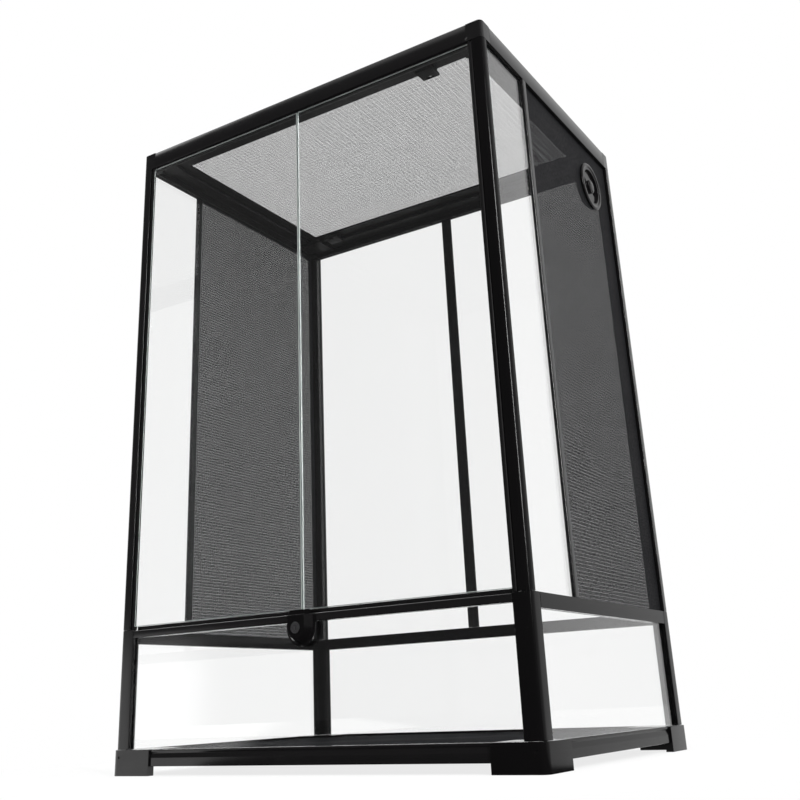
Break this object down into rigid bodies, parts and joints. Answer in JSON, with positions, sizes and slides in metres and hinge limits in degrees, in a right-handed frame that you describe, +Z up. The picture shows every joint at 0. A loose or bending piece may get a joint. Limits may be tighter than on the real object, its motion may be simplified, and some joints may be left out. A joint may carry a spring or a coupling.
{
  "type": "terrarium",
  "caption": "Tall glass terrarium with hinged front doors, a glass tub base, mesh rear sides, a lift-out mesh lid, a key lock and a turning cable port.",
  "frame": {"origin": "on the ground under the middle of the four posts' outer faces", "axes": "+Z up, the doors face -Y, +X to the right as seen from the front"},
  "size_m": [0.615, 0.4726, 0.913],
  "materials": {
    "black_plastic": "smooth satin black moulded plastic",
    "gloss_black_plastic": "glossy black moulded plastic",
    "clear_glass": "clear float glass, faintly green at its edges",
    "dark_floor": "dark smooth floor panel",
    "black_screen": "black coated fine metal mesh",
    "key_metal": "dark nickel-plated key face"
  },
  "bodies": {
    "case": {"back_divider": "black_plastic", "back_glass_left": "clear_glass", "back_glass_right": "clear_glass", "base_rail_back": "black_plastic", "base_rail_front": "black_plastic", "base_rail_left": "black_plastic", "base_rail_right": "black_plastic", "floor_panel": "dark_floor", "foot_back_left": "black_plastic", "foot_back_right": "black_plastic", "foot_front_left": "black_plastic", "foot_front_right": "black_plastic", "lock_body": "black_plastic", "lower_glass_back": "clear_glass", "lower_glass_front": "clear_glass", "lower_glass_left": "clear_glass", "lower_glass_right": "clear_glass", "lower_post_back_left": "black_plastic", "lower_post_back_right": "black_plastic", "lower_post_front_left": "black_plastic", "lower_post_front_right": "black_plastic", "mid_rail_back": "black_plastic", "mid_rail_front": "black_plastic", "mid_rail_left": "black_plastic", "mid_rail_right": "black_plastic", "port_body": "gloss_black_plastic", "port_nut": "black_plastic", "port_pivot": "black_plastic", "side_divider_left": "black_plastic", "side_divider_right": "black_plastic", "side_glass_left": "clear_glass", "side_glass_right": "clear_glass", "side_screen_left": "black_screen", "side_screen_right": "black_screen", "top_corner_back_left": "black_plastic", "top_corner_back_right": "black_plastic", "top_corner_front_left": "black_plastic", "top_corner_front_right": "black_plastic", "top_rail_back": "black_plastic", "top_rail_front": "black_plastic", "top_rail_left": "black_plastic", "top_rail_right": "black_plastic", "upper_post_back_left": "black_plastic", "upper_post_back_right": "black_plastic", "upper_post_front_left": "black_plastic", "upper_post_front_right": "black_plastic"},
    "left_door": {"door_glass_left": "clear_glass", "door_hinge_left": "black_plastic"},
    "right_door": {"door_glass_right": "clear_glass", "door_hinge_right": "black_plastic"},
    "lid": {"lid_frame": "black_plastic", "lid_screen": "black_screen"},
    "front_lid_clip": {"lid_clip_front": "black_plastic"},
    "back_lid_clip": {"lid_clip_back": "black_plastic"},
    "key_cylinder": {"lock_cylinder": "key_metal"},
    "latch": {"lock_latch": "black_plastic"},
    "port_cover": {"port_disc": "gloss_black_plastic"}
  },
  "joints": [
    {"name": "left_door_hinge", "type": "hinge", "parent": "case", "child": "left_door", "pos_m": [-0.2847, -0.2245, 0.533], "axis": [0, 0, -1], "range_deg": [0, 105]},
    {"name": "right_door_hinge", "type": "hinge", "parent": "case", "child": "right_door", "pos_m": [0.2847, -0.2245, 0.533], "axis": [0, 0, 1], "range_deg": [0, 105]},
    {"name": "lid_lift", "type": "slide", "parent": "case", "child": "lid", "axis": [0, 0, 1], "range_m": [0, 0.08]},
    {"name": "front_clip_slide", "type": "slide", "parent": "lid", "child": "front_lid_clip", "axis": [0, -1, 0], "range_m": [0, 0.0077]},
    {"name": "back_clip_slide", "type": "slide", "parent": "lid", "child": "back_lid_clip", "axis": [0, 1, 0], "range_m": [0, 0.0077]},
    {"name": "key_turn", "type": "hinge", "parent": "case", "child": "key_cylinder", "pos_m": [0, -0.2385, 0.1627], "axis": [0, 1, 0], "range_deg": [0, 90]},
    {"name": "latch_slide", "type": "slide", "parent": "case", "child": "latch", "axis": [0, 0, 1], "range_m": [0, 0.0057]},
    {"name": "port_cover_turn", "type": "hinge", "parent": "case", "child": "port_cover", "pos_m": [0.2992, 0.1355, 0.82], "axis": [1, 0, 0], "range_deg": [0, 90]}
  ],
  "couplings": [
    {"joint": "latch_slide", "follows": "key_turn", "m_per_rad": 0.0036013}
  ]
}
